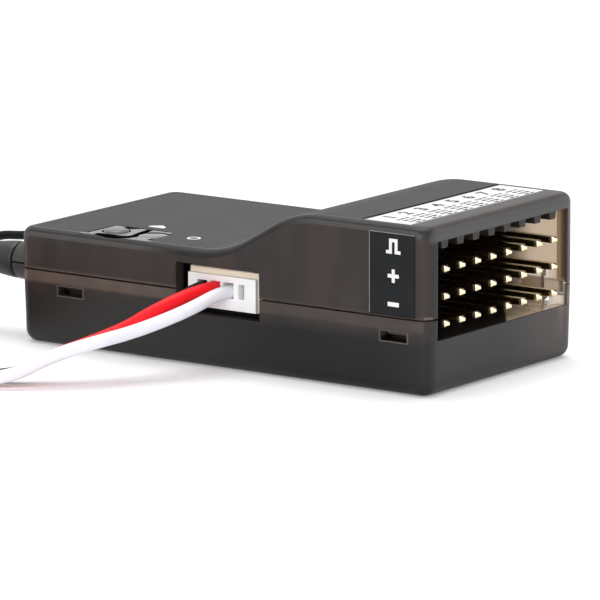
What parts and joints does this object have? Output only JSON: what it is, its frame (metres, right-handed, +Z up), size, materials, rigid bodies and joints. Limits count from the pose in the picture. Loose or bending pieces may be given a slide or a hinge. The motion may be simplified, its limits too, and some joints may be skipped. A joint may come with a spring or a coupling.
{
  "type": "rc receiver",
  "caption": "Radio control receiver in a smoky snap case with a stepped top, a bay of connector pins, a side socket with its lead, a bind button and wire aerials.",
  "frame": {"origin": "middle of the flat underside of the case", "axes": "+X along the case towards the pins, -Y out of the side socket, +Z up"},
  "size_m": [0.0846, 0.046, 0.0157],
  "materials": {
    "case_smoke": "smoky translucent moulding",
    "label_grey": "matte printed film",
    "label_white": "satin printed film",
    "label_dark": "satin printed film",
    "board": "dark solder mask",
    "black_plastic": "moulded nylon",
    "contacts": "gold plated",
    "cream_plastic": "moulded nylon",
    "white_plastic": "moulded nylon",
    "clear_plastic": "clear moulding",
    "tinned_metal": "tinned sheet",
    "black_rubber": "soft moulding",
    "black_wire": "silicone insulation",
    "red_wire": "silicone insulation",
    "white_wire": "silicone insulation"
  },
  "bodies": {
    "case": {"aerial_boot_far": "black_rubber", "aerial_boot_near": "black_rubber", "aerial_coil_far": "black_rubber", "aerial_coil_near": "black_rubber", "aerial_plug_far": "tinned_metal", "aerial_plug_near": "tinned_metal", "aerial_wire_far": "black_rubber", "aerial_wire_near": "black_rubber", "bind_switch": "tinned_metal", "channel_strip": "label_white", "circuit_board": "board", "crystal": "tinned_metal", "ground_pin_1": "contacts", "ground_pin_2": "contacts", "ground_pin_3": "contacts", "ground_pin_4": "contacts", "ground_pin_5": "contacts", "ground_pin_6": "contacts", "ground_pin_7": "contacts", "ground_pin_8": "contacts", "header_insulator": "black_plastic", "lead_coil": "black_rubber", "lead_connector": "black_plastic", "lead_tail_black": "black_wire", "lead_tail_red": "red_wire", "lead_tail_white": "white_wire", "lead_wire_black": "black_wire", "lead_wire_red": "red_wire", "lead_wire_white": "white_wire", "light_pipe": "clear_plastic", "lower_case": "case_smoke", "power_pin_1": "contacts", "power_pin_2": "contacts", "power_pin_3": "contacts", "power_pin_4": "contacts", "power_pin_5": "contacts", "power_pin_6": "contacts", "power_pin_7": "contacts", "power_pin_8": "contacts", "processor": "black_plastic", "radio_shield": "tinned_metal", "side_contact_1": "contacts", "side_contact_2": "contacts", "side_contact_3": "contacts", "side_contact_4": "contacts", "side_label": "label_dark", "side_plug": "white_plastic", "side_socket": "cream_plastic", "signal_pin_1": "contacts", "signal_pin_2": "contacts", "signal_pin_3": "contacts", "signal_pin_4": "contacts", "signal_pin_5": "contacts", "signal_pin_6": "contacts", "signal_pin_7": "contacts", "signal_pin_8": "contacts", "status_lamp": "white_plastic", "top_film": "label_grey", "upper_case": "case_smoke"},
    "bind_button": {"bind_button": "black_plastic"}
  },
  "joints": [
    {"name": "bind_button_press", "type": "slide", "parent": "case", "child": "bind_button", "axis": [0, 0, -1], "range_m": [0, 0.00025], "stiffness_N_per_m": 400}
  ]
}
